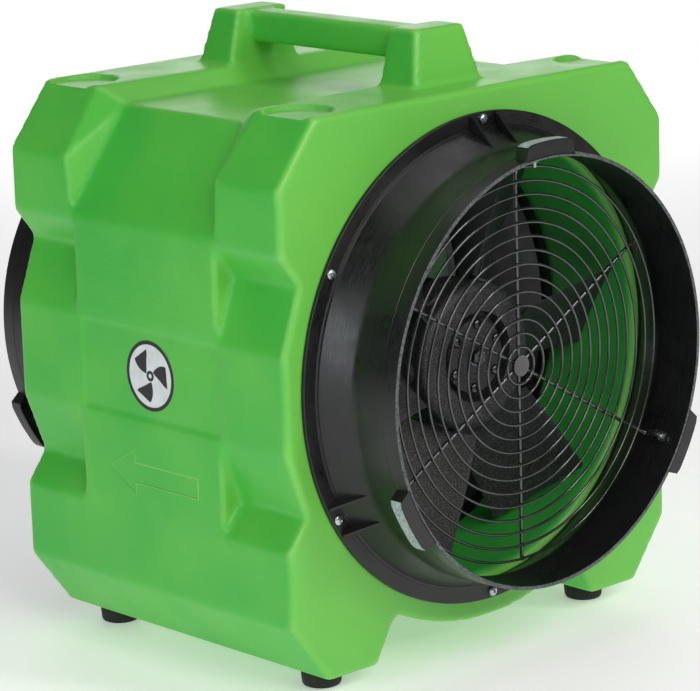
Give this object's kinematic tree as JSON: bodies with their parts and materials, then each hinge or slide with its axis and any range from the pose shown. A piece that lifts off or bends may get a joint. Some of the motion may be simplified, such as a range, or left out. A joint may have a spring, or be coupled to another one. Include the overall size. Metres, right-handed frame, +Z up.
{
  "type": "air mover",
  "caption": "Portable axial air mover: stackable rotomoulded housing with carry handle, guarded fan and bayonet duct collars front and back.",
  "frame": {"origin": "on the floor, under the middle of the machine", "axes": "+Z up; the fan's axis runs along Y, 280 mm above the floor; -Y is the front, where air enters; +X is the right side seen from the front, with the switch panel"},
  "size_m": [0.4974, 0.5516, 0.5833],
  "materials": {
    "polyethylene": "satin rotomoulded polyethylene",
    "black_nylon": "satin moulded nylon",
    "blade_nylon": "grainy glass-filled nylon",
    "coated_wire": "satin powder coat on steel wire",
    "zinc_screw": "bright zinc plating",
    "foot_rubber": "matt rubber",
    "motor_paint": "satin black paint",
    "bright_steel": "ground steel",
    "switch_plastic": "gloss moulded plastic",
    "cable_rubber": "matt rubber sheath"
  },
  "bodies": {
    "machine": {"housing": "polyethylene", "front_collar": "black_nylon", "rear_collar": "black_nylon", "switch_panel": "black_nylon", "cable_gland": "black_nylon", "front_guard": "coated_wire", "rear_guard": "coated_wire", "front_flange_screw_1": "zinc_screw", "front_flange_screw_2": "zinc_screw", "front_flange_screw_3": "zinc_screw", "front_flange_screw_4": "zinc_screw", "front_flange_screw_5": "zinc_screw", "front_flange_screw_6": "zinc_screw", "rear_flange_screw_1": "zinc_screw", "rear_flange_screw_2": "zinc_screw", "rear_flange_screw_3": "zinc_screw", "rear_flange_screw_4": "zinc_screw", "rear_flange_screw_5": "zinc_screw", "rear_flange_screw_6": "zinc_screw", "front_guard_screw_1": "zinc_screw", "front_guard_screw_2": "zinc_screw", "front_guard_screw_3": "zinc_screw", "rear_guard_screw_1": "zinc_screw", "rear_guard_screw_2": "zinc_screw", "rear_guard_screw_3": "zinc_screw", "bracket_bolt_1": "zinc_screw", "bracket_bolt_2": "zinc_screw", "bracket_bolt_3": "zinc_screw", "foot_1": "foot_rubber", "foot_2": "foot_rubber", "foot_3": "foot_rubber", "foot_4": "foot_rubber", "motor_body": "motor_paint", "motor_front_shield": "motor_paint", "motor_rear_shield": "motor_paint", "motor_bracket": "motor_paint", "motor_ring": "motor_paint", "motor_front_bearing": "bright_steel", "motor_rear_bearing": "bright_steel", "terminal_box": "switch_plastic", "terminal_box_lid": "switch_plastic", "switch_bezel": "switch_plastic", "motor_lead": "cable_rubber"},
    "impeller": {"hub_front": "blade_nylon", "hub_rear": "blade_nylon", "blade_1": "blade_nylon", "blade_2": "blade_nylon", "blade_3": "blade_nylon", "blade_4": "blade_nylon", "blade_5": "blade_nylon", "blade_6": "blade_nylon", "hub_screw_1": "zinc_screw", "hub_screw_2": "zinc_screw", "hub_screw_3": "zinc_screw", "hub_screw_4": "zinc_screw", "hub_screw_5": "zinc_screw", "hub_screw_6": "zinc_screw", "shaft_bolt": "zinc_screw", "rotor_shaft": "bright_steel"},
    "rocker": {"switch_rocker": "switch_plastic"}
  },
  "joints": [
    {"name": "impeller_spin", "type": "hinge", "parent": "machine", "child": "impeller", "pos_m": [0, -0.153, 0.28], "axis": [0, 1, 0], "continuous": true},
    {"name": "switch_rock", "type": "hinge", "parent": "machine", "child": "rocker", "pos_m": [0.229, -0.028, 0.28], "axis": [0, -1, 0], "range_deg": [0, 24]}
  ]
}
